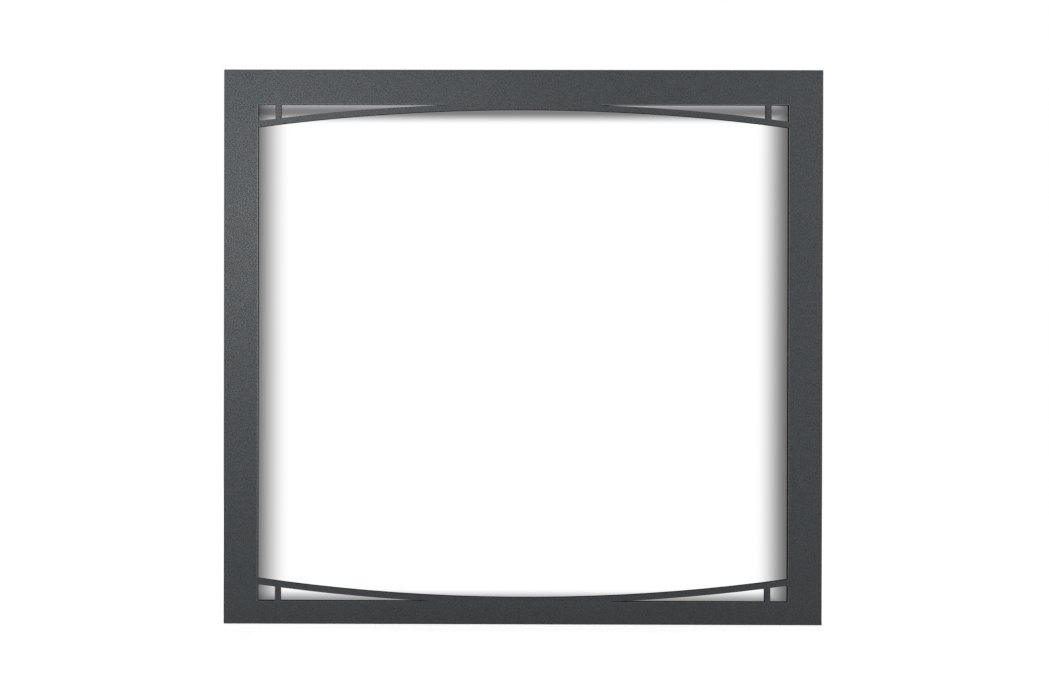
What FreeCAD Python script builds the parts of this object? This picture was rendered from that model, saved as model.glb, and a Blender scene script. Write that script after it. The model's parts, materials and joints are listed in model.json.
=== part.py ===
import FreeCAD, Part
import math
import os

# A decorative steel front that hangs on a fireplace. Sizes are in millimetres.
# +X runs to the right seen from the front, +Y to the back and +Z up. The origin is at the middle of the
# bottom edge, in the plane of the rear edges that seats against the fireplace.

# Face: flat steel bars, welded flush
face_width = 914.0
face_height = 847.0
face_thickness = 4.8
stile_width = 52.5
top_rail_height = 53.9
bottom_rail_height = 35.5

# Arched strips, and the short posts between them and the rails
strip_width = 9.5
top_arch_rise = 27.0
top_crown_reach = 7.3  # how far the inner edge of the strip stands out of its rail at the crown
bottom_arch_rise = 28.5
bottom_crown_reach = 6.1
post_width = 9.0
post_gap = 26.2  # clear gap between a stile and a post

# Returns: folded steel angle behind the border
return_depth = 25.0
return_flange = 25.0
return_thickness = 2.0
return_inset = 3.0  # set in from the edge of the face
bend_radius = 2.0  # on the inside of a fold

# Weld studs with flange nuts and washers, M5
stud_radius = 2.5
stud_length = 12.0
stud_tip = 0.6
stud_hole_clearance = 0.25
stud_end_margin = 70.0
stile_stud_count = 4
rail_stud_count = 4
nut_flats = 8.0
nut_height = 4.7
nut_flange_radius = 5.8
nut_flange_height = 1.4
nut_chamfer = 30.0  # degrees
thread_clearance = 0.05
washer_radius = 5.5
washer_thickness = 1.0

# Corner cleats
cleat_leg = 32.0
cleat_width = 14.0
cleat_thickness = 2.0

# Blind rivets
rivet_radius = 2.0
rivet_head_radius = 3.8
rivet_head_height = 1.2
rivet_clearance = 0.05
rivet_pitch = 14.0
rivet_end_margin = 7.0

# Hanger hooks, which slide up and down on their studs
hook_thickness = 3.0
hook_height = 84.0  # from the lower end to the bearing face in the throat
hook_arm = 16.0  # above the bearing face
hook_throat = 8.0
hook_finger_width = 8.0
hook_finger_length = 18.0
hook_corner = 4.0
hook_travel = 6.0  # each way
hook_stud_pitch = 40.0
hook_slot_clearance = 0.4
fold_clearance = 1.0  # between a fold and the edge of a piece laid beside it

# Lower catches: pot magnets on folded brackets
magnet_radius = 12.5
magnet_height = 7.0
magnet_margin = 1.0  # bracket left round the cup
cup_wall = 1.4
cup_base = 1.5
ring_bore = 5.0
ring_glue_gap = 0.1
bracket_thickness = 2.0
bracket_height = 60.0  # of the leg, with its ears above and below the plate
screw_radius = 2.0
screw_head_radius = 3.6
screw_head_height = 2.5
screw_head_bevel = 0.6
socket_flats = 2.5
socket_depth = 1.4
screw_hole_clearance = 0.15
screw_tip = 1.5  # past the nut
screw_nut_flats = 7.0
screw_nut_height = 3.2

# Planes and edges that several pieces share
face_back = -return_depth
face_front = face_back - face_thickness
flange_back = face_back + return_thickness
fold_outer_radius = bend_radius + return_thickness
fold_end = face_back + fold_outer_radius
middle_depth = (fold_end + fold_clearance) / 2
opening_half = face_width / 2 - stile_width
top_rail_edge = face_height - top_rail_height
opening_middle = (top_rail_edge + bottom_rail_height) / 2
return_outer = face_width / 2 - return_inset
return_inner = return_outer - return_thickness
return_top = face_height - return_inset
return_top_inner = return_top - return_thickness
flange_middle = (fold_outer_radius + return_flange) / 2

right = FreeCAD.Vector(1, 0, 0)
back = FreeCAD.Vector(0, 1, 0)
up = FreeCAD.Vector(0, 0, 1)


def point(x, y, z):
    return FreeCAD.Vector(x, y, z)


def block(x, y, z):
    low = point(x[0], y[0], z[0])
    return Part.makeBox(x[1] - x[0], y[1] - y[0], z[1] - z[0], low)


def line(start, end):
    return Part.LineSegment(start, end).toShape()


def arc(start, middle, end):
    return Part.Arc(start, middle, end).toShape()


def prism(edges, along):
    return Part.Face(Part.Wire(edges)).extrude(along)


def outline(points):
    return [line(a, b) for a, b in zip(points, points[1:] + points[:1])]


def turned(points):
    # A solid of revolution about +Z, from radius and height pairs
    edges = outline([point(radius, 0, height) for radius, height in points])
    return Part.Face(Part.Wire(edges)).revolve(point(0, 0, 0), up, 360)


def placed(shape, origin, direction):
    moved = shape.copy()
    moved.Placement = FreeCAD.Placement(origin, FreeCAD.Rotation(up, direction))
    return moved


def other_side(shape):
    return shape.mirror(point(0, 0, 0), right)


def both_sides(shapes):
    return shapes + [other_side(shape) for shape in shapes]


def upside_down(shape):
    return shape.mirror(point(0, 0, opening_middle), up)


def hole(origin, direction, radius, length):
    return Part.makeCylinder(radius, length, origin, direction)


def folded_angle(corner, flange, flange_side, leg, leg_side, thickness, along):
    # An angle folded from sheet: the corner is where its two outer faces would meet
    def place(u, v):
        return corner + flange_side * u + leg_side * v

    outer = bend_radius + thickness
    outer_bow = outer * (1 - math.sqrt(0.5))
    inner_bow = outer - bend_radius * math.sqrt(0.5)
    edges = [
        line(place(flange, 0), place(outer, 0)),
        arc(place(outer, 0), place(outer_bow, outer_bow), place(0, outer)),
        line(place(0, outer), place(0, leg)),
        line(place(0, leg), place(thickness, leg)),
        line(place(thickness, leg), place(thickness, outer)),
        arc(place(thickness, outer), place(inner_bow, inner_bow), place(outer, thickness)),
        line(place(outer, thickness), place(flange, thickness)),
        line(place(flange, thickness), place(flange, 0)),
    ]
    return prism(edges, along)


def spread(low, high, count):
    return [low + (high - low) * i / (count - 1) for i in range(count)]


# Stud places, which the returns, studs and nuts share
stile_stud_heights = spread(return_inset + stud_end_margin, return_top - stud_end_margin, stile_stud_count)
rail_stud_reach = return_outer - return_flange - stud_end_margin
rail_stud_places = spread(-rail_stud_reach, rail_stud_reach, rail_stud_count)
stile_stud_x = return_outer - flange_middle
top_stud_height = return_top - flange_middle
bottom_stud_height = return_inset + flange_middle

# The hooks sit between the two upper studs of a stile, and the magnets between the two lower ones
hook_middle = (stile_stud_heights[-1] + stile_stud_heights[-2]) / 2
magnet_middle = (stile_stud_heights[0] + stile_stud_heights[1]) / 2
hook_stud_heights = [hook_middle - hook_stud_pitch / 2, hook_middle + hook_stud_pitch / 2]
magnet_x = return_inner - bend_radius - bracket_thickness - magnet_margin - magnet_radius


def stile():
    return block((opening_half, face_width / 2), (face_front, face_back), (0, face_height))


def rail(low, high):
    return block((-opening_half, opening_half), (face_front, face_back), (low, high))


def arch_point(rise, reach, width, x):
    # On a curve this width outside the inner edge of a strip below the top rail
    radius = (opening_half ** 2 + rise ** 2) / (2 * rise)
    centre = top_rail_edge - reach - radius
    return point(x, face_front, centre + math.sqrt((radius + width) ** 2 - x ** 2))


def arch(rise, reach):
    inner = [arch_point(rise, reach, 0, x) for x in (-opening_half, 0, opening_half)]
    outer = [arch_point(rise, reach, strip_width, x) for x in (opening_half, 0, -opening_half)]
    edges = [arc(*inner), line(inner[2], outer[0]), arc(*outer), line(outer[2], inner[0])]
    strip = prism(edges, back * face_thickness)
    seat = rail(top_rail_edge, face_height)
    return strip.cut(seat)


def post(rise, reach):
    # On the right, between the top rail and the strip below it
    outer_x = opening_half - post_gap
    inner_x = outer_x - post_width
    middle_x = (inner_x + outer_x) / 2
    lower = [arch_point(rise, reach, strip_width, x) for x in (inner_x, middle_x, outer_x)]
    upper = [point(x, face_front, top_rail_edge) for x in (outer_x, inner_x)]
    edges = [arc(*lower), line(lower[2], upper[0]), line(*upper), line(upper[1], lower[0])]
    return prism(edges, back * face_thickness)


def stud_holes(places, depth, direction, radius, length):
    return [hole(point(x, depth, z), direction, radius, length) for x, z in places]


def side_return():
    corner = point(return_outer, face_back, return_inset)
    height = return_top - return_inset
    angle = folded_angle(
        corner, return_flange, -right, return_depth, back, return_thickness, up * height
    )
    places = [(stile_stud_x, z) for z in stile_stud_heights]
    radius = stud_radius + stud_hole_clearance
    angle = angle.cut(stud_holes(places, face_back, back, radius, return_thickness))
    rivets = [rivet_hole(origin, right, return_thickness) for origin, sheet in side_rivets()]
    return angle.cut(rivets)


def top_return():
    corner = point(-return_inner, face_back, return_top)
    angle = folded_angle(
        corner, return_flange, -up, return_depth, back, return_thickness, right * 2 * return_inner
    )
    flange_end = return_outer - return_flange
    cope = block((flange_end, return_inner), (face_back, fold_end), (return_top - return_flange, return_top))
    angle = angle.cut([cope, other_side(cope)])
    places = [(x, top_stud_height) for x in rail_stud_places]
    radius = stud_radius + stud_hole_clearance
    angle = angle.cut(stud_holes(places, face_back, back, radius, return_thickness))
    rivets = [rivet_hole(origin, up, return_thickness) for origin in top_rivets()]
    return angle.cut(both_sides(rivets))


def bottom_return():
    # The top return turned over about the middle of the front
    return top_return().mirror(point(0, 0, face_height / 2), up)


def cleat_rivet_steps():
    # From the end of a leg towards the corner, as many as keep their heads clear of the fold
    first = cleat_leg - rivet_end_margin
    last = bend_radius + cleat_thickness + rivet_head_radius
    count = 1 + math.floor((first - last) / rivet_pitch)
    return [first - rivet_pitch * i for i in range(count)]


def top_rivets():
    # Where the rivets through the top return start, at its inner face
    return [point(return_inner - step, middle_depth, return_top_inner) for step in cleat_rivet_steps()]


def side_rivets():
    # Where each rivet through the right return starts, at its inner face, and the sheet that it holds there
    low = return_inset + return_thickness
    heights = [return_top_inner - step for step in cleat_rivet_steps()]
    heights += [low + step for step in cleat_rivet_steps()]
    places = [(point(return_inner, middle_depth, z), cleat_thickness) for z in heights]
    depth = bracket_rivet_depth()
    places += [(point(return_inner, depth, z), bracket_thickness) for z in bracket_rivet_heights()]
    return places


def rivet_hole(origin, direction, length):
    return hole(origin, direction, rivet_radius + rivet_clearance, length)


def top_cleat():
    corner = point(return_inner, middle_depth - cleat_width / 2, return_top_inner)
    cleat = folded_angle(
        corner, cleat_leg, -right, cleat_leg, -up, cleat_thickness, back * cleat_width
    )
    holes = [rivet_hole(origin, -up, cleat_thickness) for origin in top_rivets()]
    heights = [return_top_inner - step for step in cleat_rivet_steps()]
    holes += [rivet_hole(point(return_inner, middle_depth, z), -right, cleat_thickness) for z in heights]
    return cleat.cut(holes)


def bottom_cleat():
    return top_cleat().mirror(point(0, 0, face_height / 2), up)


def rivet(grip):
    # A domed head at each end of a plain shank
    cap = (rivet_head_radius ** 2 + rivet_head_height ** 2) / (2 * rivet_head_height)
    lean = math.asin(rivet_head_radius / cap) / 2
    bow = point(cap * math.sin(lean), 0, cap * (1 - math.cos(lean)))
    low = point(0, 0, -rivet_head_height)
    high = point(0, 0, grip + rivet_head_height)
    low_rim = point(rivet_head_radius, 0, 0)
    high_rim = point(rivet_head_radius, 0, grip)
    low_neck = point(rivet_radius, 0, 0)
    high_neck = point(rivet_radius, 0, grip)
    edges = [
        arc(low, low + bow, low_rim),
        line(low_rim, low_neck),
        line(low_neck, high_neck),
        line(high_neck, high_rim),
        arc(high_rim, point(bow.x, 0, high.z - bow.z), high),
        line(high, low),
    ]
    return Part.Face(Part.Wire(edges)).revolve(point(0, 0, 0), up, 360)


def rivets():
    made = []
    for origin in top_rivets():
        upper = placed(rivet(cleat_thickness + return_thickness), origin - up * cleat_thickness, up)
        made += [upper, upper.mirror(point(0, 0, face_height / 2), up)]
    for origin, sheet in side_rivets():
        made.append(placed(rivet(sheet + return_thickness), origin - right * sheet, right))
    return both_sides(made)


def weld_stud():
    shoulder = stud_length - stud_tip
    tip = stud_radius - stud_tip
    return turned([(0, 0), (stud_radius, 0), (stud_radius, shoulder), (tip, stud_length), (0, stud_length)])


def hex_prism(flats, height):
    corner = flats / math.sqrt(3)
    turns = [math.radians(60 * i) for i in range(6)]
    points = [point(corner * math.cos(t), corner * math.sin(t), 0) for t in turns]
    return prism(outline(points), up * height)


def chamfered_hex(flats, height):
    # A hexagon whose upper corners are turned down to the circle between its flats
    flat = flats / 2
    over = 2 * (flats / math.sqrt(3) - flat)
    shoulder = height - over * math.tan(math.radians(nut_chamfer))
    cap = turned([(0, 0), (flat + over, 0), (flat + over, shoulder), (flat, height), (0, height)])
    return hex_prism(flats, height).common(cap)


def flange_nut():
    waist = nut_flats / math.sqrt(3)
    flange = turned([
        (0, 0),
        (nut_flange_radius, 0),
        (nut_flange_radius, nut_flange_height / 2),
        (waist, nut_flange_height),
        (0, nut_flange_height),
    ])
    bore = hole(point(0, 0, 0), up, stud_radius + thread_clearance, nut_height)
    return chamfered_hex(nut_flats, nut_height).fuse(flange).removeSplitter().cut(bore)


def washer():
    ring = Part.makeCylinder(washer_radius, washer_thickness)
    return ring.cut(hole(point(0, 0, 0), up, stud_radius + stud_hole_clearance, washer_thickness))


def face_stud_places():
    places = [(side * stile_stud_x, z) for side in (-1, 1) for z in stile_stud_heights]
    places += [(x, z) for x in rail_stud_places for z in (bottom_stud_height, top_stud_height)]
    return places


def weld_studs():
    body = weld_stud()
    face = [placed(body, point(x, face_back, z), back) for x, z in face_stud_places()]
    hook = [placed(body, point(return_inner, middle_depth, z), -right) for z in hook_stud_heights]
    return face + both_sides(hook)


def flange_nuts():
    body = flange_nut()
    face = [placed(body, point(x, flange_back, z), back) for x, z in face_stud_places()]
    seat = return_inner - hook_thickness - washer_thickness
    hook = [placed(body, point(seat, middle_depth, z), -right) for z in hook_stud_heights]
    return face + both_sides(hook)


def hook_washers():
    seat = return_inner - hook_thickness
    hook = [placed(washer(), point(seat, middle_depth, z), -right) for z in hook_stud_heights]
    return both_sides(hook)


def slot(height):
    # An upright slot that lets a hook slide past its stud
    radius = stud_radius + hook_slot_clearance
    start = point(return_inner - hook_thickness, middle_depth, height)
    ends = [hole(start + up * step, right, radius, hook_thickness) for step in (-hook_travel, hook_travel)]
    middle = block(
        (return_inner - hook_thickness, return_inner),
        (middle_depth - radius, middle_depth + radius),
        (height - hook_travel, height + hook_travel),
    )
    return ends + [middle]


def bearing_height():
    return hook_middle + hook_height / 2


def hanger_hook():
    front = fold_end + fold_clearance
    low = hook_middle - hook_height / 2
    bearing = bearing_height()
    tip = bearing - hook_finger_length
    rear = hook_throat + hook_finger_width
    x = return_inner - hook_thickness
    outline_points = [
        (front, low),
        (0, low),
        (0, bearing),
        (hook_throat, bearing),
        (hook_throat, tip),
        (rear, tip),
        (rear, bearing + hook_arm),
        (front, bearing + hook_arm),
    ]
    plate = prism(outline([point(x, y, z) for y, z in outline_points]), right * hook_thickness)
    rounded = [(front, low), (0, low), (rear, tip), (rear, bearing + hook_arm), (front, bearing + hook_arm)]
    corners = [edge for edge in plate.Edges if is_corner(edge, rounded)]
    plate = plate.makeFillet(hook_corner, corners)
    for height in hook_stud_heights:
        plate = plate.cut(slot(height))
    return plate


def is_corner(edge, places):
    ends = [vertex.Point for vertex in edge.Vertexes]
    runs_across = abs(ends[0].x - ends[1].x) > hook_thickness / 2
    return runs_across and any(math.hypot(ends[0].y - y, ends[0].z - z) < 0.01 for y, z in places)


def bracket_plate():
    # Height of the plate that carries the magnet
    return 2 * (magnet_radius + magnet_margin)


def bracket_rivet_depth():
    return (fold_end + fold_clearance - magnet_height) / 2


def bracket_rivet_heights():
    # In the middle of each ear
    step = (bracket_height + bracket_plate()) / 4
    return [magnet_middle - step, magnet_middle + step]


def magnet_bracket():
    low = magnet_middle - bracket_plate() / 2
    high = magnet_middle + bracket_plate() / 2
    front = fold_end + fold_clearance
    reach = return_inner - magnet_x + magnet_radius + magnet_margin
    bracket = folded_angle(
        point(return_inner, -magnet_height, low), reach, -right,
        -magnet_height - front, -back, bracket_thickness, up * bracket_plate()
    )
    across = (return_inner - bracket_thickness, return_inner)
    deep = (front, -magnet_height)
    ears = [
        block(across, deep, (magnet_middle - bracket_height / 2, low)),
        block(across, deep, (high, magnet_middle + bracket_height / 2)),
    ]
    bracket = bracket.fuse(ears).removeSplitter()
    holes = [
        rivet_hole(point(return_inner, bracket_rivet_depth(), z), -right, bracket_thickness)
        for z in bracket_rivet_heights()
    ]
    return bracket.cut(holes + [screw_hole(-magnet_height, -back, bracket_thickness)])


def screw_hole(depth, direction, length):
    return hole(point(magnet_x, depth, magnet_middle), direction, screw_radius + screw_hole_clearance, length)


def on_magnet(shape, depth, direction):
    return placed(shape, point(magnet_x, depth, magnet_middle), direction)


def magnet_cup():
    inner = magnet_radius - cup_wall
    cup = turned([
        (0, 0),
        (magnet_radius, 0),
        (magnet_radius, magnet_height),
        (inner, magnet_height),
        (inner, cup_base),
        (0, cup_base),
    ])
    return on_magnet(cup, -magnet_height, back).cut(screw_hole(-magnet_height, back, cup_base))


def ring_magnet():
    depth = magnet_height - cup_base
    ring = Part.makeCylinder(magnet_radius - cup_wall - ring_glue_gap, depth)
    ring = ring.cut(hole(point(0, 0, 0), up, ring_bore, depth))
    return on_magnet(ring, -depth, back)


def magnet_screw():
    length = cup_base + bracket_thickness + screw_nut_height + screw_tip
    screw = turned([
        (0, -screw_head_height),
        (screw_head_radius - screw_head_bevel, -screw_head_height),
        (screw_head_radius, screw_head_bevel - screw_head_height),
        (screw_head_radius, 0),
        (screw_radius, 0),
        (screw_radius, length),
        (0, length),
    ])
    socket = placed(hex_prism(socket_flats, socket_depth), point(0, 0, -screw_head_height), up)
    return on_magnet(screw.cut(socket), cup_base - magnet_height, -back)


def magnet_nut():
    bore = hole(point(0, 0, 0), up, screw_radius + thread_clearance, screw_nut_height)
    nut = chamfered_hex(screw_nut_flats, screw_nut_height).cut(bore)
    return on_magnet(nut, -magnet_height - bracket_thickness, -back)


def pair(name, shape):
    return {"right_" + name: shape, "left_" + name: other_side(shape)}


def group(shapes):
    return Part.makeCompound(shapes)


top_post = post(top_arch_rise, top_crown_reach)
bottom_post = upside_down(post(bottom_arch_rise, bottom_crown_reach))
nodes = {
    "top_rail": rail(top_rail_edge, face_height),
    "bottom_rail": rail(0, bottom_rail_height),
    "top_arch": arch(top_arch_rise, top_crown_reach),
    "bottom_arch": upside_down(arch(bottom_arch_rise, bottom_crown_reach)),
    "top_right_post": top_post,
    "top_left_post": other_side(top_post),
    "bottom_right_post": bottom_post,
    "bottom_left_post": other_side(bottom_post),
    "top_return": top_return(),
    "bottom_return": bottom_return(),
    "top_right_cleat": top_cleat(),
    "top_left_cleat": other_side(top_cleat()),
    "bottom_right_cleat": bottom_cleat(),
    "bottom_left_cleat": other_side(bottom_cleat()),
    "rivets": group(rivets()),
    "weld_studs": group(weld_studs()),
    "flange_nuts": group(flange_nuts()),
    "hook_washers": group(hook_washers()),
    "magnet_screws": group(both_sides([magnet_screw()])),
    "magnet_nuts": group(both_sides([magnet_nut()])),
}
nodes.update(pair("stile", stile()))
nodes.update(pair("return", side_return()))
nodes.update(pair("hanger_hook", hanger_hook()))
nodes.update(pair("magnet_bracket", magnet_bracket()))
nodes.update(pair("magnet_cup", magnet_cup()))
nodes.update(pair("ring_magnet", ring_magnet()))

os.makedirs("parts", exist_ok=True)
for name, shape in nodes.items():
    shape.exportStep("parts/" + name + ".step")
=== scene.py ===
import json
import math

import bmesh
import bpy
from mathutils import Matrix, Vector
from mathutils.bvhtree import BVHTree


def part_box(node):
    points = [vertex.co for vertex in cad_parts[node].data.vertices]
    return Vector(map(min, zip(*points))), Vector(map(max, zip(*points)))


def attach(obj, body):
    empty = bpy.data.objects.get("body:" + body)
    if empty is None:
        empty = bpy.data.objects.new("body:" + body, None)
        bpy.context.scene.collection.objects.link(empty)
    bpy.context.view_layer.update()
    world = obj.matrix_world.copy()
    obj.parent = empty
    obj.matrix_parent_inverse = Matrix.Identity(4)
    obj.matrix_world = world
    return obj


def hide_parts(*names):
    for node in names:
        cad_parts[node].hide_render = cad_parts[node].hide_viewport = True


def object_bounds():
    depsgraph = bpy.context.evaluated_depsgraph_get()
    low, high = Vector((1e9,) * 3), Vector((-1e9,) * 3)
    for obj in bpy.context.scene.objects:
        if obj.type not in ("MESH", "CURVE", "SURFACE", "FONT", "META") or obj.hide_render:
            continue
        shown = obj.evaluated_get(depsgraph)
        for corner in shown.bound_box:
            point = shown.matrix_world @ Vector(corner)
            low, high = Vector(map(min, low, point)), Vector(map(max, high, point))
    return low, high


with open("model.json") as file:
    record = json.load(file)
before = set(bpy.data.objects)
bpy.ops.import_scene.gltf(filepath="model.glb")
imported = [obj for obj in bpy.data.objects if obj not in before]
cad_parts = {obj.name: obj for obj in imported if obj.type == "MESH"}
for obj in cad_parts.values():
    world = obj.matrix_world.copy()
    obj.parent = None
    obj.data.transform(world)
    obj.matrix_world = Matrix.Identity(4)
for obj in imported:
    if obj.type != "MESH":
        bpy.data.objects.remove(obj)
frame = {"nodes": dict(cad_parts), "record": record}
cadLow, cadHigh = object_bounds()
nodes = frame["nodes"]
mm = 0.001
bodies = frame["record"]["behaviour"]["bodies"]
bodyOf = {node: body for body, members in bodies.items() for node in members}
slotOf = {part["node"]: part["material_slot"] for part in frame["record"]["subparts"]}
faceFront, faceBack = (corner.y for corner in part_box("left_stile"))
print("frame loaded,", len(nodes), "nodes")


# node helpers

def addNode(tree, kind, spot, inputs=None, **settings):
    node = tree.nodes.new(kind)
    node.location = spot
    for name, value in settings.items():
        setattr(node, name, value)
    for name, value in (inputs or {}).items():
        node.inputs[name].default_value = value
    return node


def calc(tree, operation, a, b, spot):
    # a Math node whose two inputs are each a socket or a number
    node = addNode(tree, "ShaderNodeMath", spot, operation=operation)
    for place, value in enumerate((a, b)):
        if isinstance(value, (int, float)):
            node.inputs[place].default_value = value
        else:
            tree.links.new(value, node.inputs[place])
    return node.outputs[0]


def remap(tree, value, spot, low, high, newLow, newHigh, smooth=False):
    kind = "SMOOTHSTEP" if smooth else "LINEAR"
    node = addNode(tree, "ShaderNodeMapRange", spot, interpolation_type=kind, clamp=True)
    for name, number in zip(("From Min", "From Max", "To Min", "To Max"), (low, high, newLow, newHigh)):
        node.inputs[name].default_value = number
    tree.links.new(value, node.inputs["Value"])
    return node.outputs["Result"]


def mixColour(tree, factor, first, second, spot):
    node = addNode(tree, "ShaderNodeMix", spot, data_type="RGBA")
    tree.links.new(factor, node.inputs["Factor"])
    for socket, colour in zip((node.inputs[6], node.inputs[7]), (first, second)):  # the colour sockets
        if isinstance(colour, tuple):
            socket.default_value = (*colour, 1)
        else:
            tree.links.new(colour, socket)
    return node.outputs[2]


def newGroup(name, inputs, outputs):
    group = bpy.data.node_groups.new(name, "ShaderNodeTree")
    for label, start in inputs.items():
        socket = group.interface.new_socket(label, in_out="INPUT", socket_type="NodeSocketFloat")
        socket.default_value = start
    for label in outputs:
        group.interface.new_socket(label, in_out="OUTPUT", socket_type="NodeSocketFloat")
    entry = addNode(group, "NodeGroupInput", (-900, 0))
    leave = addNode(group, "NodeGroupOutput", (700, 0))
    return group, entry, leave


def useGroup(tree, group, spot, **values):
    node = addNode(tree, "ShaderNodeGroup", spot, node_tree=group)
    for label, value in values.items():
        node.inputs[label].default_value = value
    return node


def newMaterial(name, **plain):
    material = bpy.data.materials.new(name)
    material.use_nodes = True
    tree = material.node_tree
    shader = tree.nodes["Principled BSDF"]
    for label, value in plain.items():
        shader.inputs[label].default_value = value
    return material, tree, shader


def addBump(tree, shader, height, spot, strength, depth):
    bump = addNode(tree, "ShaderNodeBump", spot, {"Strength": strength, "Distance": depth})
    tree.links.new(height, bump.inputs["Height"])
    tree.links.new(bump.outputs["Normal"], shader.inputs["Normal"])


# shared surface effects, whose scales are repeats in a metre

mottleSpec = {
    "details": {"blotch": 1.0, "pit": 1.0, "grain": 0.0, "tint": 1.0},
    "layerShift": (3.1, 1.7, 2.3),  # keeps the layers from lying on one another
    "pitRange": (0.31, 0.52), "cloudScale": 9.0,
    "fleckScale": 1300.0, "fleckChosen": (0.86, 0.98), "fleckReach": (0.2, 0.45),
}


def makeMottle(spec):
    # blotches, pits, grain and flecks of a textured coating, all in the object's own metres
    group, entry, leave = newGroup(
        "mottle", {"blotchSize": 3 * mm, "pitSize": 2 * mm, "grainSize": 1 * mm, "tintSize": 5 * mm},
        ("blotch", "pit", "grain", "tint", "cloud", "fleck"))
    place = addNode(group, "ShaderNodeTexCoord", (-900, -300))
    found = {}
    for row, (label, detail) in enumerate(spec["details"].items()):
        y = 500 - 250 * row
        scale = calc(group, "DIVIDE", 1.0, entry.outputs[label + "Size"], (-550, y))
        shift = addNode(group, "ShaderNodeVectorMath", (-550, y - 100), operation="ADD")
        shift.inputs[1].default_value = [step * row for step in spec["layerShift"]]
        noise = addNode(group, "ShaderNodeTexNoise", (-300, y), {"Detail": detail, "Roughness": 0.5})
        group.links.new(place.outputs["Object"], shift.inputs[0])
        group.links.new(shift.outputs[0], noise.inputs["Vector"])
        group.links.new(scale, noise.inputs["Scale"])
        found[label] = noise.outputs["Fac"]
    for label in ("blotch", "grain", "tint"):
        group.links.new(found[label], leave.inputs[label])
    pit = remap(group, found["pit"], (50, 250), *spec["pitRange"], 1.0, 0.0, smooth=True)
    group.links.new(pit, leave.inputs["pit"])
    cloud = addNode(
        group, "ShaderNodeTexNoise", (-300, -800), {"Scale": spec["cloudScale"], "Detail": 2.0})
    group.links.new(place.outputs["Object"], cloud.inputs["Vector"])
    group.links.new(cloud.outputs["Fac"], leave.inputs["cloud"])
    cells = addNode(group, "ShaderNodeTexVoronoi", (-300, -500), {"Scale": spec["fleckScale"]})
    group.links.new(place.outputs["Object"], cells.inputs["Vector"])
    shade = addNode(group, "ShaderNodeSeparateColor", (-50, -500))
    group.links.new(cells.outputs["Color"], shade.inputs["Color"])
    chosen = remap(group, shade.outputs["Red"], (150, -450), *spec["fleckChosen"], 0.0, 1.0)
    small = remap(group, cells.outputs["Distance"], (150, -700), *spec["fleckReach"], 1.0, 0.0)
    group.links.new(calc(group, "MULTIPLY", chosen, small, (400, -500)), leave.inputs["fleck"])
    return group


platingSpec = {"speckleScale": 1800.0, "streakScale": 900.0}


def makePlating(spec):
    # cloudy bloom, fine speckle and rolled streaks of plated sheet
    group, entry, leave = newGroup(
        "plating", {"bloomSize": 6 * mm, "streakX": 1.0, "streakY": 1.0, "streakZ": 1.0},
        ("bloom", "speckle", "streak"))
    place = addNode(group, "ShaderNodeTexCoord", (-900, -300))
    scale = calc(group, "DIVIDE", 1.0, entry.outputs["bloomSize"], (-550, 300))
    bloom = addNode(group, "ShaderNodeTexNoise", (-300, 300), {"Detail": 4.0, "Roughness": 0.65})
    group.links.new(place.outputs["Object"], bloom.inputs["Vector"])
    group.links.new(scale, bloom.inputs["Scale"])
    group.links.new(bloom.outputs["Fac"], leave.inputs["bloom"])
    speckle = addNode(
        group, "ShaderNodeTexNoise", (-300, 0), {"Scale": spec["speckleScale"], "Detail": 1.0})
    group.links.new(place.outputs["Object"], speckle.inputs["Vector"])
    group.links.new(speckle.outputs["Fac"], leave.inputs["speckle"])
    stretch = addNode(group, "ShaderNodeCombineXYZ", (-550, -300))
    for axis, label in zip("XYZ", ("streakX", "streakY", "streakZ")):
        group.links.new(entry.outputs[label], stretch.inputs[axis])
    stretched = addNode(group, "ShaderNodeVectorMath", (-300, -300), operation="MULTIPLY")
    group.links.new(place.outputs["Object"], stretched.inputs[0])
    group.links.new(stretch.outputs[0], stretched.inputs[1])
    streak = addNode(
        group, "ShaderNodeTexNoise", (-50, -300), {"Scale": spec["streakScale"], "Detail": 2.0})
    group.links.new(stretched.outputs[0], streak.inputs["Vector"])
    group.links.new(streak.outputs["Fac"], leave.inputs["streak"])
    return group


scuffSpec = {
    "slant": (0.5, 0.35, 0.2), "stretch": (1.0, 1.0, 14.0), "lineReach": 0.008,
    "gapScale": 55.0, "gapRange": (0.57, 0.66),
}


def makeScuffs(spec):
    # sparse thin scratches along one slanting direction, as a mask
    group, entry, leave = newGroup("scuffs", {"spacing": 30 * mm}, ("mask",))
    place = addNode(group, "ShaderNodeTexCoord", (-900, -300))
    slant = addNode(group, "ShaderNodeMapping", (-700, -200), vector_type="TEXTURE")
    slant.inputs["Rotation"].default_value = spec["slant"]
    slant.inputs["Scale"].default_value = spec["stretch"]
    group.links.new(place.outputs["Object"], slant.inputs["Vector"])
    scale = calc(group, "DIVIDE", 1.0, entry.outputs["spacing"], (-550, 200))
    bend = addNode(group, "ShaderNodeTexNoise", (-300, 0), {"Detail": 1.0, "Roughness": 0.3})
    group.links.new(slant.outputs[0], bend.inputs["Vector"])
    group.links.new(scale, bend.inputs["Scale"])
    swing = calc(group, "SUBTRACT", bend.outputs["Fac"], 0.5, (-80, 0))
    ridge = calc(group, "ABSOLUTE", swing, 0.0, (80, 0))
    thin = remap(group, ridge, (250, 0), 0.0, spec["lineReach"], 1.0, 0.0)
    gaps = addNode(
        group, "ShaderNodeTexNoise", (-300, -300), {"Scale": spec["gapScale"], "Detail": 1.0})
    group.links.new(place.outputs["Object"], gaps.inputs["Vector"])
    some = remap(group, gaps.outputs["Fac"], (50, -300), *spec["gapRange"], 0.0, 1.0)
    group.links.new(calc(group, "MULTIPLY", thin, some, (450, 0)), leave.inputs["mask"])
    return group


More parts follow.
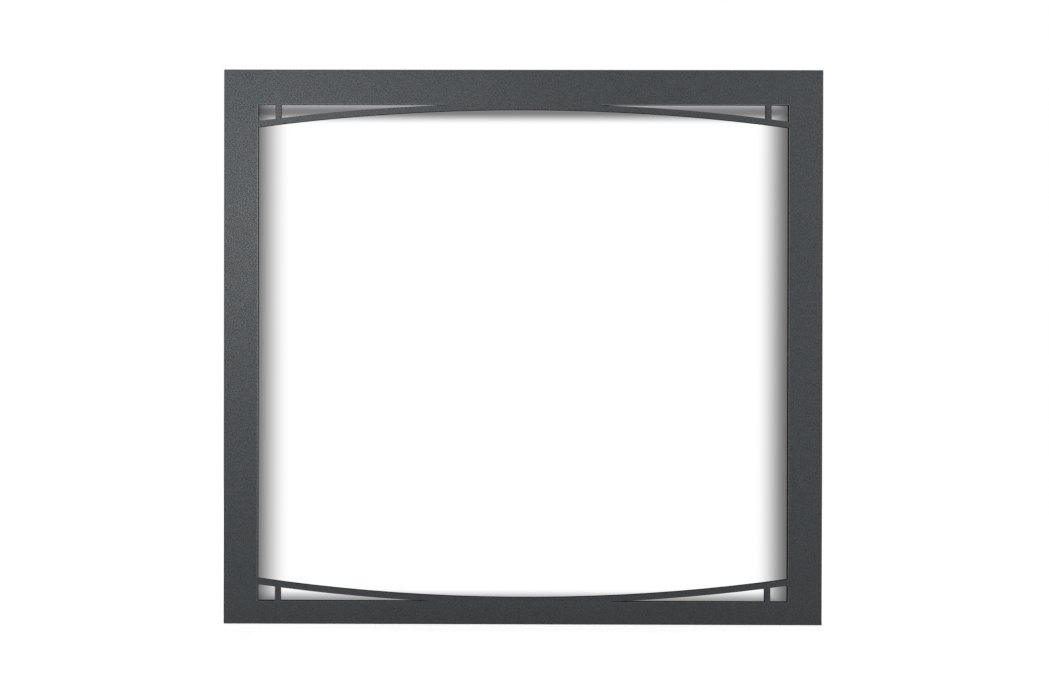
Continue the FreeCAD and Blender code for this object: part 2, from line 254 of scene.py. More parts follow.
mottle = makeMottle(mottleSpec)
plating = makePlating(platingSpec)
scuffs = makeScuffs(scuffSpec)
print("surface effects ready")


def usePlating(tree, spec):
    along = dict(zip(("streakX", "streakY", "streakZ"), spec["streak"]))
    return useGroup(tree, plating, (-900, 100), bloomSize=spec["bloomSize"], **along)


# finishes

noiseRange = (0.3, 0.7)  # most values of a noise lie between these
arrisHighlightLayer = "arris"  # face value, above 0 on the rounding of an inner edge, where the coat gets a painted highlight

charcoal = {
    "cool": (0.0690, 0.0785, 0.0848), "warm": (0.0745, 0.0780, 0.0837),
    "blotchSize": 1.5 * mm, "pitSize": 1.4 * mm, "grainSize": 1.0 * mm, "tintSize": 4.0 * mm,
    "blotchAmount": 1.2, "pitAmount": -0.54, "grainAmount": 1.0, "cloudAmount": 0.1, "fleckAmount": 0.4,
    "arrisAmount": 1.3, "tintRange": (0.36, 0.64),
    "level": 1.07, "roughness": (0.34, 0.48), "bumpStrength": 0.8, "bumpDepth": 0.28 * mm,
}


def makeCharcoal(spec):
    # charcoal powder coat with a fine pitted grain, and a painted highlight along the rounded inner edges
    material, tree, shader = newMaterial("charcoalPaint", **{"Specular IOR Level": 0.2})
    field = useGroup(
        tree, mottle, (-900, 100), blotchSize=spec["blotchSize"], pitSize=spec["pitSize"],
        grainSize=spec["grainSize"], tintSize=spec["tintSize"])
    arris = addNode(tree, "ShaderNodeAttribute", (-900, -500), attribute_name=arrisHighlightLayer)
    tone = spec["level"]
    for row, label in enumerate(("blotch", "grain", "cloud")):
        swing = calc(tree, "SUBTRACT", field.outputs[label], 0.5, (-680, 500 - 160 * row))
        share = calc(tree, "MULTIPLY", swing, spec[label + "Amount"], (-520, 500 - 160 * row))
        tone = calc(tree, "ADD", share, tone, (-360, 500 - 160 * row))
    for row, (socket, amount) in enumerate((
            (field.outputs["pit"], spec["pitAmount"]), (field.outputs["fleck"], spec["fleckAmount"]),
            (arris.outputs["Fac"], spec["arrisAmount"]))):
        share = calc(tree, "MULTIPLY", socket, amount, (-360, 20 - 160 * row))
        tone = calc(tree, "ADD", share, tone, (-200, 20 - 160 * row))
    tint = remap(tree, field.outputs["tint"], (-520, -320), *spec["tintRange"], 0.0, 1.0)
    colour = mixColour(tree, tint, spec["cool"], spec["warm"], (-360, -480))
    shaded = addNode(tree, "ShaderNodeHueSaturation", (-40, 100))
    tree.links.new(colour, shaded.inputs["Color"])
    tree.links.new(tone, shaded.inputs["Value"])
    tree.links.new(shaded.outputs["Color"], shader.inputs["Base Color"])
    rough = remap(tree, field.outputs["grain"], (-200, -650), *noiseRange, *spec["roughness"])
    tree.links.new(rough, shader.inputs["Roughness"])
    relief = calc(tree, "SUBTRACT", field.outputs["blotch"], field.outputs["pit"], (-520, -700))
    addBump(tree, shader, relief, (140, -350), spec["bumpStrength"], spec["bumpDepth"])
    return material


cutEdge = {
    # the near-black dark colour is painted shade on the inner edges; the pale one marks the lines of the
    # cut
    "dark": (0.0060, 0.0065, 0.0070), "pale": (0.0480, 0.0500, 0.0520), "roughness": (0.78, 0.94),
    "bloomSize": 4.0 * mm, "streak": (1.0, 0.05, 1.0), "tintRange": (0.44, 0.74),
    "bumpStrength": 0.5, "bumpDepth": 0.15 * mm,
}


def makeCutEdgeShade(spec):
    # edges inside the opening: painted shade, near black and dull, lined across the plate by the cutting
    # beam
    material, tree, shader = newMaterial("cutEdge", **{"Specular IOR Level": 0.0})
    field = usePlating(tree, spec)
    lines = field.outputs["streak"]
    tint = remap(tree, lines, (-600, 300), *spec["tintRange"], 0.0, 1.0)
    colour = mixColour(tree, tint, spec["dark"], spec["pale"], (-300, 300))
    tree.links.new(colour, shader.inputs["Base Color"])
    rough = remap(tree, field.outputs["bloom"], (-600, 0), *noiseRange, *spec["roughness"])
    tree.links.new(rough, shader.inputs["Roughness"])
    addBump(tree, shader, lines, (-300, -300), spec["bumpStrength"], spec["bumpDepth"])
    return material


blackCoat = {
    "dark": (0.021, 0.021, 0.022), "pale": (0.033, 0.033, 0.034), "worn": (0.075, 0.074, 0.072),
    "peelSize": 2.2 * mm, "grainSize": 0.7 * mm, "grainShare": 0.3, "scuffSpacing": 45 * mm,
    "roughness": (0.36, 0.54), "bumpStrength": 0.4, "bumpDepth": 0.08 * mm,
}


def makeBlackCoat(spec):
    # satin black powder coat with its orange peel and a few handling scuffs
    material, tree, shader = newMaterial("blackCoat", **{"Specular IOR Level": 0.35})
    field = useGroup(tree, mottle, (-900, 100), blotchSize=spec["peelSize"], grainSize=spec["grainSize"])
    tint = remap(tree, field.outputs["cloud"], (-600, 300), *noiseRange, 0.0, 1.0)
    colour = mixColour(tree, tint, spec["dark"], spec["pale"], (-400, 300))
    marks = useGroup(tree, scuffs, (-600, 0), spacing=spec["scuffSpacing"])
    worn = mixColour(tree, marks.outputs["mask"], colour, spec["worn"], (-150, 200))
    tree.links.new(worn, shader.inputs["Base Color"])
    rough = remap(tree, field.outputs["blotch"], (-400, -150), *noiseRange, *spec["roughness"])
    tree.links.new(rough, shader.inputs["Roughness"])
    grain = calc(tree, "MULTIPLY", field.outputs["grain"], spec["grainShare"], (-600, -350))
    relief = calc(tree, "ADD", field.outputs["blotch"], grain, (-400, -350))
    addBump(tree, shader, relief, (-150, -350), spec["bumpStrength"], spec["bumpDepth"])
    return material


# plated and bare metals share the first values and differ only in the others
metalSpec = {
    "bloomShare": 0.7, "streakShare": 0.3, "tintRange": (0.36, 0.64), "roughRange": (0.34, 0.66),
    "bumpStrength": 0.25,
}
metals = {
    "zinc_sheet": {
        "name": "zincSheet",
        "first": (0.31, 0.32, 0.335), "second": (0.43, 0.43, 0.42), "scratch": (0.58, 0.58, 0.57),
        "bloomSize": 9 * mm, "streak": (1.0, 1.0, 0.05), "roughness": (0.30, 0.52),
        "bumpDepth": 0.03 * mm, "scuffSpacing": 22 * mm,
    },
    "zinc_fastener": {
        "name": "zincFastener",
        "first": (0.40, 0.41, 0.42), "second": (0.54, 0.53, 0.50), "scratch": (0.68, 0.68, 0.67),
        "bloomSize": 2.5 * mm, "streak": (1.0, 1.0, 1.0), "roughness": (0.24, 0.42),
        "bumpDepth": 0.02 * mm, "scuffSpacing": 8 * mm,
    },
    "rivet_steel": {
        "name": "rivetSteel",
        "first": (0.36, 0.36, 0.37), "second": (0.50, 0.50, 0.50), "scratch": (0.62, 0.62, 0.62),
        "bloomSize": 2.0 * mm, "streak": (1.0, 1.0, 1.0), "roughness": (0.34, 0.55),
        "bumpDepth": 0.03 * mm, "scuffSpacing": 6 * mm,
    },
    "nickel_cup": {
        "name": "nickelCup",
        "first": (0.57, 0.545, 0.50), "second": (0.66, 0.64, 0.60), "scratch": (0.76, 0.74, 0.71),
        "bloomSize": 5 * mm, "streak": (1.0, 0.08, 1.0), "roughness": (0.16, 0.30),
        "bumpDepth": 0.01 * mm, "scuffSpacing": 9 * mm,
    },
}


def makeMetal(spec, shared):
    material, tree, shader = newMaterial(spec["name"], Metallic=1.0)
    field = usePlating(tree, spec)
    bloom = calc(tree, "MULTIPLY", field.outputs["bloom"], shared["bloomShare"], (-680, 300))
    streak = calc(tree, "MULTIPLY", field.outputs["streak"], shared["streakShare"], (-680, 140))
    mixed = calc(tree, "ADD", bloom, streak, (-520, 220))
    tint = remap(tree, mixed, (-360, 220), *shared["tintRange"], 0.0, 1.0)
    colour = mixColour(tree, tint, spec["first"], spec["second"], (-180, 220))
    marks = useGroup(tree, scuffs, (-360, 0), spacing=spec["scuffSpacing"])
    scratched = mixColour(tree, marks.outputs["mask"], colour, spec["scratch"], (20, 200))
    tree.links.new(scratched, shader.inputs["Base Color"])
    rough = remap(tree, mixed, (-180, -60), *shared["roughRange"], *spec["roughness"])
    tree.links.new(rough, shader.inputs["Roughness"])
    relief = calc(tree, "ADD", field.outputs["speckle"], field.outputs["streak"], (-520, -300))
    addBump(tree, shader, relief, (-180, -300), shared["bumpStrength"], spec["bumpDepth"])
    return material


ferriteSpec = {
    "dark": (0.026, 0.026, 0.028), "pale": (0.062, 0.060, 0.058), "roughness": (0.42, 0.66),
    "bloomSize": 3.0 * mm, "streak": (0.06, 1.0, 1.6), "streakShare": 0.4, "pitSize": 1.6 * mm,
    "tintRange": (0.35, 0.65), "bumpStrength": 0.5, "bumpDepth": 0.05 * mm,
}


def makeFerrite(spec):
    # ground ceramic: straight grinding lines and small chipped pits
    material, tree, shader = newMaterial("ferrite", **{"Metallic": 0.2, "Specular IOR Level": 0.4})
    field = usePlating(tree, spec)
    pits = useGroup(tree, mottle, (-900, -200), pitSize=spec["pitSize"])
    tint = remap(tree, field.outputs["streak"], (-500, 200), *spec["tintRange"], 0.0, 1.0)
    colour = mixColour(tree, tint, spec["dark"], spec["pale"], (-300, 200))
    tree.links.new(colour, shader.inputs["Base Color"])
    rough = remap(tree, field.outputs["bloom"], (-500, -50), *noiseRange, *spec["roughness"])
    tree.links.new(rough, shader.inputs["Roughness"])
    chips = calc(tree, "SUBTRACT", 1.0, pits.outputs["pit"], (-500, -250))
    lines = calc(tree, "MULTIPLY", field.outputs["streak"], spec["streakShare"], (-500, -450))
    relief = calc(tree, "ADD", chips, lines, (-300, -300))
    addBump(tree, shader, relief, (-100, -300), spec["bumpStrength"], spec["bumpDepth"])
    return material


finishes = {"charcoal_paint": makeCharcoal(charcoal), "black_paint": makeBlackCoat(blackCoat)}
finishes.update({slot: makeMetal(spec, metalSpec) for slot, spec in metals.items()})
finishes["ferrite"] = makeFerrite(ferriteSpec)
shadedEdgeFinish = makeCutEdgeShade(cutEdge)
print("finishes ready:", ", ".join(finishes))


# mesh helpers

clean = {
    "weld": 0.002 * mm, "touch": 0.12 * mm,
    "flat": math.radians(0.2), "sharp": math.radians(30), "crease": math.radians(42),
}


def camelCase(name):
    first, *rest = name.split("_")
    return first + "".join(word.capitalize() for word in rest)


def cleanCopy(nodeName):
    # the node's mesh with its split corners welded and its flat triangles joined
    bm = bmesh.new()
    bm.from_mesh(nodes[nodeName].data)
    bmesh.ops.remove_doubles(bm, verts=bm.verts, dist=clean["weld"])
    bmesh.ops.dissolve_limit(bm, angle_limit=clean["flat"], verts=bm.verts, edges=bm.edges)
    return bm


def hardEdges(bm):
    shared = [edge for edge in bm.edges if len(edge.link_faces) == 2]
    return [edge for edge in shared if edge.calc_face_angle() > clean["sharp"]]


def roundEdges(bm, edges, radius, segments):
    made = bmesh.ops.bevel(
        bm, geom=edges, offset=radius, offset_type="OFFSET", segments=segments, profile=0.5,
        affect="EDGES", clamp_overlap=True)
    return made["faces"]


def linkMesh(name, bm, slot):
    bmesh.ops.recalc_face_normals(bm, faces=bm.faces)
    mesh = bpy.data.meshes.new(name)
    bm.to_mesh(mesh)
    bm.free()
    mesh.materials.append(finishes[slot])
    mesh.shade_smooth()
    piece = bpy.data.objects.new(name, mesh)
    bpy.context.scene.collection.objects.link(piece)
    return piece


def newPiece(nodeName, bm, name=None):
    # stands for the node: same body, same slot, its own finish
    piece = linkMesh(name or camelCase(nodeName), bm, slotOf[nodeName])
    piece.data.set_sharp_from_angle(angle=clean["crease"])
    even = piece.modifiers.new("evenShading", "WEIGHTED_NORMAL")
    even.keep_sharp = True
    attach(piece, bodyOf[nodeName])
    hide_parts(nodeName)
    return piece


def solidBoxes(nodeName):
    # lowest and highest corner of each separate solid in a node
    bm = cleanCopy(nodeName)
    waiting = set(bm.verts)
    boxes = []
    while waiting:
        reached = [waiting.pop()]
        for vert in reached:
            for edge in vert.link_edges:
                other = edge.other_vert(vert)
                if other in waiting:
                    waiting.discard(other)
                    reached.append(other)
        spots = [vert.co for vert in reached]
        low = Vector(min(spot[axis] for spot in spots) for axis in range(3))
        high = Vector(max(spot[axis] for spot in spots) for axis in range(3))
        boxes.append((low, high))
    bm.free()
    return sorted(boxes, key=lambda box: tuple(round(value, 5) for value in (*box[0], *box[1])))


def ringRows(bm, rows):
    # skins rows of points that each go once round, and closes both ends
    made = [[bm.verts.new(spot) for spot in row] for row in rows]
    count = len(made[0])
    for lower, upper in zip(made, made[1:]):
        for i in range(count):
            j = (i + 1) % count
            bm.faces.new((lower[i], lower[j], upper[j], upper[i]))
    bm.faces.new(list(reversed(made[0])))
    bm.faces.new(made[-1])


def alongAxis(origin, direction):
    # local +Z runs along direction from origin
    return Matrix.Translation(origin) @ direction.to_track_quat("Z", "Y").to_matrix().to_4x4()


# face of the front: ten bars and strips that lie flush, rounded only on their free edges

faceSpec = {
    "rounding": 1.3 * mm, "outlineRounding": 1.4 * mm, "stripRounding": 0.6 * mm, "segments": 4,
    "edgeTurn": math.cos(math.radians(45)),
    # strength of the painted highlight on the rounded inner edges of each bar
    "arrisShares": {"left_stile": 1.4, "right_stile": 1.9, "top_rail": 1.2, "bottom_rail": 0.3},
}
facePieces = sorted(node for node, slot in slotOf.items() if slot == "charcoal_paint")


def touchPlaces(nodeName, axis):
    # where the corners of the other face pieces meet this one, along one axis
    low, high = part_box(nodeName)
    slack = clean["touch"]
    found = set()
    for other in facePieces:
        if other == nodeName:
            continue
        for vert in nodes[other].data.vertices:
            near = all(low[i] - slack < vert.co[i] < high[i] + slack for i in range(3))
            if near and low[axis] + slack < vert.co[axis] < high[axis] - slack:
                found.add(round(vert.co[axis], 6))
    return sorted(found)


def meshTree(nodeName):
    mesh = nodes[nodeName].data
    spots = [vert.co for vert in mesh.vertices]
    return BVHTree.FromPolygons(spots, [face.vertices for face in mesh.polygons])


def isStrip(nodeName):
    # arches and posts, much thinner than the stiles and rails
    return nodeName.endswith(("_arch", "_post"))


def outlineGap(spot):
    # how far a spot lies inside the outline of the whole front
    return min(spot.x - cadLow.x, cadHigh.x - spot.x, spot.z - cadLow.z, cadHigh.z - spot.z)


def middleOf(edge):
    return (edge.verts[0].co + edge.verts[1].co) / 2


def onOutline(edge):
    return outlineGap(middleOf(edge)) < clean["touch"]


def facePiece(nodeName, spec, trees):
    # cut where other pieces meet it, then rounded on the edges that touch none of them
    bm = cleanCopy(nodeName)
    arris = bm.faces.layers.float.new(arrisHighlightLayer)
    low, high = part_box(nodeName)
    axis = 2 if high.z - low.z > high.x - low.x else 0
    across = Vector((0, 0, 1)) if axis == 2 else Vector((1, 0, 0))
    for place in touchPlaces(nodeName, axis):
        everything = bm.verts[:] + bm.edges[:] + bm.faces[:]
        bmesh.ops.bisect_plane(bm, geom=everything, plane_co=across * place, plane_no=across)
    others = [tree for name, tree in trees.items() if name != nodeName]

    def isFree(edge):
        middle = middleOf(edge)
        return all(tree.find_nearest(middle, clean["touch"])[0] is None for tree in others)

    free = [edge for edge in hardEdges(bm) if isFree(edge)]
    outline = [edge for edge in free if onOutline(edge)]
    inner = [edge for edge in free if not onOutline(edge)]
    if isStrip(nodeName):
        roundEdges(bm, inner, spec["stripRounding"], spec["segments"])
    else:
        # the inner rounding of a stile or rail carries the painted highlight
        for face in roundEdges(bm, inner, spec["rounding"], spec["segments"]):
            face[arris] = spec["arrisShares"][nodeName]
    outline = [edge for edge in outline if edge.is_valid]
    roundEdges(bm, outline, spec["outlineRounding"], spec["segments"])
    piece = newPiece(nodeName, bm)
    piece.data.materials.append(shadedEdgeFinish)
    for face in piece.data.polygons:  # the outer sides are coated like the front; the sides inside the opening take the near-black edge colour, painted shade
        inside = outlineGap(face.center) > spec["outlineRounding"]
        face.material_index = 1 if inside and abs(face.normal.y) < spec["edgeTurn"] else 0


faceTrees = {name: meshTree(name) for name in facePieces}
for nodeName in facePieces:
    facePiece(nodeName, faceSpec, faceTrees)
print("face pieces:", len(facePieces))


# folded sheet, hooks, magnets and loose fasteners keep their solids' shape, with broken edges

brokenEdges = {  # radius and segments for each finish
    "black_paint": (0.40 * mm, 3), "zinc_sheet": (0.30 * mm, 2), "nickel_cup": (0.45 * mm, 3),
    "ferrite": (0.25 * mm, 2), "zinc_fastener": (0.14 * mm, 2),
}
slideGap = 0.04 * mm  # air between a washer and the hook that slides under it


def openSlide(bm):
    # draws in the side of each washer that faces its hook, the one farther from the middle
    farthest = max(abs(vert.co.x) for vert in bm.verts)
    for vert in bm.verts:
        if abs(vert.co.x) > farthest - clean["touch"]:
            vert.co.x -= math.copysign(slideGap, vert.co.x)


for nodeName, slot in sorted(slotOf.items()):
    if slot in brokenEdges and nodeName != "weld_studs":  # the studs get their thread further down
        bm = cleanCopy(nodeName)
        if nodeName == "hook_washers":
            openSlide(bm)
        radius, segments = brokenEdges[slot]
        roundEdges(bm, hardEdges(bm), radius, segments)
        bmesh.ops.dissolve_degenerate(bm, dist=clean["weld"], edges=bm.edges)  # faces without area
        newPiece(nodeName, bm)
print("sheet pieces and fasteners softened")


# weld studs with a rolled thread

studSpec = {
    "pitch": 0.8 * mm, "depth": 0.42 * mm, "sides": 24, "rowsPerTurn": 8, "tip": 0.6 * mm,
    "veeSlope": 1.35, "crestFlat": 0.15,
}


def threadRadius(spec, radius, length, height, turn):
    # a flattened vee, cut back where the tip is chamfered
    phase = (height / spec["pitch"] - turn) % 1.0
    vee = min(1.0, max(0.0, spec["veeSlope"] * (1 - abs(2 * phase - 1)) - spec["crestFlat"]))
    chamfer = radius - max(0.0, height - (length - spec["tip"]))
    return min(radius - spec["depth"] * vee, chamfer)


def addStud(bm, spec, origin, direction, radius, length):
    place = alongAxis(origin, direction)
    count = round(length / spec["pitch"] * spec["rowsPerTurn"])
    rows = []
    for step in range(count + 1):
        height = length * step / count
        row = []
        for i in range(spec["sides"]):
            turn = i / spec["sides"]
            reach = threadRadius(spec, radius, length, height, turn)
            angle = 2 * math.pi * turn
            row.append(place @ Vector((reach * math.cos(angle), reach * math.sin(angle), height)))
        rows.append(row)
    ringRows(bm, rows)


def makeStuds(spec):
    bm = bmesh.new()
    for low, high in solidBoxes("weld_studs"):
        size = high - low
        middle = (low + high) / 2
        if size.y > size.x:  # on the back of the face
            addStud(bm, spec, Vector((middle.x, low.y, middle.z)), Vector((0, 1, 0)), size.x / 2, size.y)
        else:  # inside a side return, pointing to the middle
            start = low.x if middle.x < 0 else high.x
            inward = Vector((-math.copysign(1, middle.x), 0, 0))
            addStud(bm, spec, Vector((start, middle.y, middle.z)), inward, size.z / 2, size.x)
    newPiece("weld_studs", bm)


makeStuds(studSpec)
print("studs threaded")


# blind rivets: a domed head round the snapped mandrel outside, a rolled bulb inside

rivetSpec = {
    "headHeight": 1.2, "shank": 2.0, "rim": 1.15,  # millimetres
    "domeTurns": (0.25, 0.6, 0.95, 1.25, 1.45),  # radians, from the rim to the edge of the head
    "sides": 28,
}


def rivetProfile(spec, reach, grip):
    # radius and height in millimetres, from the mandrel's end in the head to its tip in the bulb
    head = spec["headHeight"]
    rim = spec["rim"]
    dome = [(rim + (reach - rim) * math.sin(t), head * math.cos(t)) for t in spec["domeTurns"]]
    top = [(0.02, 0.45), (0.85, 0.5), (0.98, 0.42), (1.02, head * 0.8), (1.12, head * 0.96)]
    neck = [(reach, 0.02), (reach - 0.08, 0.0), (spec["shank"], 0.0), (spec["shank"], -grip)]
    bulb = [(3.1, 0.0), (3.45, 0.14), (3.5, 0.42), (3.2, 0.78), (2.5, 1.0), (1.6, 1.06), (1.42, 0.98)]
    tip = [(1.25, 1.08), (0.8, 1.18), (0.02, 1.2)]
    return top + dome + neck + [(radius, -grip - height) for radius, height in bulb + tip]


def addRivet(bm, spec, seat, outward, reach, grip):
    place = alongAxis(seat, outward) @ Matrix.Scale(mm, 4)
    angles = [2 * math.pi * i / spec["sides"] for i in range(spec["sides"])]
    rows = []
    for radius, height in rivetProfile(spec, reach, grip):
        spots = [Vector((radius * math.cos(angle), radius * math.sin(angle), height)) for angle in angles]
        rows.append([place @ spot for spot in spots])
    ringRows(bm, rows)


def makeRivets(spec):
    bm = bmesh.new()
    centre = (cadLow + cadHigh) / 2
    for low, high in solidBoxes("rivets"):
        size = (high - low) / mm
        middle = (low + high) / 2
        axis = 0 if size.x < size.z else 2
        outward = Vector((0, 0, 0))
        outward[axis] = math.copysign(1, middle[axis] - centre[axis])
        grip = size[axis] - 2 * spec["headHeight"]
        seat = middle + outward * grip / 2 * mm
        addRivet(bm, spec, seat, outward, size.y / 2, grip)
    newPiece("rivets", bm, "blindRivets")


makeRivets(rivetSpec)
print("rivets set")


# weld beads on the back of the face, where its bars meet

weldSpec = {
    "width": 4.4 * mm, "height": 0.9 * mm, "ripple": 1.25 * mm, "rippleDepth": 0.3, "bow": 0.35,
    "sink": 0.15 * mm, "step": 0.16 * mm, "sides": 12, "clear": 0.8 * mm,
    "crownBeads": 4, "crownBead": 20 * mm, "crownSpan": 176 * mm,
    "fewestSteps": 8, "endTaper": 0.02, "seamSlack": 0.01 * mm,
}


def addBead(bm, spec, start, end):
    # a rippled bead on the back of the face, from start to end (x and z)
    run = Vector((end[0] - start[0], 0, end[1] - start[1]))
    length = run.length
    along = run.normalized()
    sideways = along.cross(Vector((0, 1, 0)))
    count = max(spec["fewestSteps"], round(length / spec["step"]))
    rows = []
    for step in range(count + 1):
        travel = length * step / count
        fade = min(travel, length - travel) / (spec["width"] / 2)
        taper = math.sqrt(max(spec["endTaper"], 1 - max(0.0, 1 - fade) ** 2))
        row = []
        for i in range(spec["sides"] + 1):
            angle = math.pi * i / spec["sides"]
            offset = math.cos(angle)
            phase = (travel / spec["ripple"] + spec["bow"] * offset ** 2) % 1.0
            crest = 1 - spec["rippleDepth"] * phase
            rise = spec["height"] * taper * math.sin(angle) * crest
            spot = Vector((start[0], faceBack, start[1])) + along * travel
            row.append(spot + sideways * offset * taper * spec["width"] / 2 + Vector((0, rise, 0)))
        row.append(row[-1] - Vector((0, spec["sink"], 0)))
        row.append(row[0] - Vector((0, spec["sink"], 0)))
        rows.append(row)
    ringRows(bm, rows)


def makeBeads(spec):
    bm = bmesh.new()
    inset = spec["clear"]
    flange = {"top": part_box("top_return")[0].z, "bottom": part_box("bottom_return")[1].z}
    for level in ("top", "bottom"):
        railLow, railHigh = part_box(level + "_rail")
        railEdge = railLow.z if level == "top" else railHigh.z
        corners = [vert.co for vert in nodes[level + "_arch"].data.vertices]
        ends = [co.z for co in corners if abs(co.x - railHigh.x) < spec["seamSlack"]]
        for side in ("left", "right"):
            seam = railLow.x if side == "left" else railHigh.x
            reach = sorted((railEdge, flange[level]))
            addBead(bm, spec, (seam, reach[0] + inset), (seam, reach[1] - inset))
            addBead(bm, spec, (seam, min(ends) + inset), (seam, max(ends) - inset))
            postLow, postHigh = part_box("_".join((level, side, "post")))
            for z in (postLow.z, postHigh.z):
                addBead(bm, spec, (postLow.x + inset, z), (postHigh.x - inset, z))
        for i in range(spec["crownBeads"]):
            x = spec["crownSpan"] * (i / (spec["crownBeads"] - 1) - 0.5)
            half = spec["crownBead"] / 2
            addBead(bm, spec, (x - half, railEdge), (x + half, railEdge))
    beads = linkMesh("weldBeads", bm, "charcoal_paint")
    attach(beads, bodyOf["top_rail"])


makeBeads(weldSpec)
print("weld beads laid")


# camera, straight on, where the photograph was taken from

shot = {
    "distance": 1.6, "x": -0.1037, "z": 0.4862,  # metres
    "sensor": 36.0, "lens": 35.986, "shiftX": 0.0697, "shiftY": -0.0387,
    "pitch": -0.179, "yaw": 0.199, "roll": 0.111,  # degrees
}


def makeCamera(spec):
    data = bpy.data.cameras.new("camera")
    data.sensor_fit = "HORIZONTAL"
    data.sensor_width = spec["sensor"]
    data.lens = spec["lens"]
    data.shift_x = spec["shiftX"]
    data.shift_y = spec["shiftY"]
    camera = bpy.data.objects.new("camera", data)
    bpy.context.scene.collection.objects.link(camera)
    turn = Matrix.Rotation(math.radians(spec["yaw"]), 4, "Z")
    tilt = Matrix.Rotation(math.radians(90 + spec["pitch"]), 4, "X")
    lean = Matrix.Rotation(math.radians(spec["roll"]), 4, "Z")
    place = Matrix.Translation((spec["x"], faceFront - spec["distance"], spec["z"]))
    camera.matrix_world = place @ turn @ tilt @ lean
    bpy.context.scene.camera = camera


makeCamera(shot)
print("camera set")


# stage: pale floor, a white card close behind the opening with a painted shadow along its rims, soft
# lamps and a white surround

plainWhite = (1, 1, 1, 1)
stageSpec = {
    "floorSize": 12.0, "floorColour": (0.80, 0.80, 0.80), "floorBounce": (0.13, 0.13, 0.13),
    "floorGlow": 0.68, "fadeFrom": 0.75, "fadeTo": 1.6, "ambient": 0.1,
}
lamps = {
    "key": {"place": (-0.514, -1.168, 0.70), "aim": (-1.0, 0.0, 1.2), "size": 0.35, "power": 11.6},
    "fill": {"place": (1.75, -1.0, 0.89), "aim": (0.0, 0.0, 0.42), "size": 0.9, "power": 20.2},
    "back": {"place": (-0.9, 1.7, 1.5), "aim": (0.0, 0.0, 0.42), "size": 1.0, "power": 34.0},
}
cardSpec = {
    "depth": -1.5 * mm, "inset": 6 * mm, "cornerShare": (0.55, 0.2),  # left and right
    # each rim is painted shadow, and the top lip a painted light band: it scales the white by its share,
    # which fades out between two places on the card, in metres
    "sideRims": {
        "left": (-0.4207, -0.3591, 0.10), "leftLip": (-0.4092, -0.4077, 0.35),
        "right": (0.4137, 0.3622, 0.16), "rightLip": (0.4122, 0.4107, 0.15),
    },
    "levelRims": {
        "top": (0.7862, 0.7679, 0.22), "topLip": (0.7990, 0.7895, 1.9),
        "bottom": (0.0284, 0.0478, 0.32), "bottomLip": (0.0286, 0.0300, 0.15),
    },
}


def seenDirectly(tree, spot):
    # camera, glossy and transmission rays see the white surround
    x, y = spot
    rays = addNode(tree, "ShaderNodeLightPath", spot).outputs
    first = calc(tree, "MAXIMUM", rays["Is Camera Ray"], rays["Is Glossy Ray"], (x + 180, y))
    return calc(tree, "MAXIMUM", first, rays["Is Transmission Ray"], (x + 360, y))


def makeWorld(spec):
    world = bpy.data.worlds.new("whiteSurround")
    world.use_nodes = True
    tree = world.node_tree
    tree.nodes.clear()
    white = addNode(tree, "ShaderNodeBackground", (0, 100), {"Color": plainWhite, "Strength": 1.0})
    soft = addNode(
        tree, "ShaderNodeBackground", (0, -100), {"Color": plainWhite, "Strength": spec["ambient"]})
    mix = addNode(tree, "ShaderNodeMixShader", (200, 0))
    leave = addNode(tree, "ShaderNodeOutputWorld", (400, 0))
    tree.links.new(seenDirectly(tree, (-600, 300)), mix.inputs[0])
    tree.links.new(soft.outputs[0], mix.inputs[1])
    tree.links.new(white.outputs[0], mix.inputs[2])
    tree.links.new(mix.outputs[0], leave.inputs["Surface"])
    bpy.context.scene.world = world


def flatSheet(name, corners, material):
    mesh = bpy.data.meshes.new(name)
    mesh.from_pydata(corners, [], [tuple(range(len(corners)))])
    mesh.materials.append(material)
    sheet = bpy.data.objects.new(name, mesh)
    bpy.context.scene.collection.objects.link(sheet)


def stageMaterial(name):
    material = bpy.data.materials.new(name)
    material.use_nodes = True
    material.node_tree.nodes.clear()
    return material, material.node_tree


def makeFloor(spec):
    material, tree = stageMaterial("paleFloor")
    matte = addNode(tree, "ShaderNodeBsdfDiffuse", (0, 200), {"Color": (*spec["floorColour"], 1)})
    bounce = addNode(tree, "ShaderNodeBsdfDiffuse", (400, 200), {"Color": (*spec["floorBounce"], 1)})
    glow = addNode(
        tree, "ShaderNodeEmission", (0, 0), {"Color": plainWhite, "Strength": spec["floorGlow"]})
    lit = addNode(tree, "ShaderNodeAddShader", (200, 100))
    white = addNode(tree, "ShaderNodeEmission", (200, -100), {"Color": plainWhite, "Strength": 1.0})
    place = addNode(tree, "ShaderNodeTexCoord", (-600, -300))
    far = addNode(tree, "ShaderNodeVectorMath", (-400, -300), operation="LENGTH")
    fade = addNode(tree, "ShaderNodeMixShader", (400, 0))
    shown = addNode(tree, "ShaderNodeMixShader", (600, 0))
    leave = addNode(tree, "ShaderNodeOutputMaterial", (800, 0))
    tree.links.new(matte.outputs[0], lit.inputs[0])
    tree.links.new(glow.outputs[0], lit.inputs[1])
    tree.links.new(place.outputs["Object"], far.inputs[0])
    away = remap(
        tree, far.outputs["Value"], (-150, -300), spec["fadeFrom"], spec["fadeTo"], 0.0, 1.0, smooth=True)
    tree.links.new(away, fade.inputs[0])
    tree.links.new(lit.outputs[0], fade.inputs[1])
    tree.links.new(white.outputs[0], fade.inputs[2])
    tree.links.new(seenDirectly(tree, (-600, 500)), shown.inputs[0])
    tree.links.new(bounce.outputs[0], shown.inputs[1])
    tree.links.new(fade.outputs[0], shown.inputs[2])
    tree.links.new(shown.outputs[0], leave.inputs["Surface"])
    half = spec["floorSize"] / 2
    corners = [(-half, -half, 0), (half, -half, 0), (half, half, 0), (-half, half, 0)]
    flatSheet("floor", corners, material)


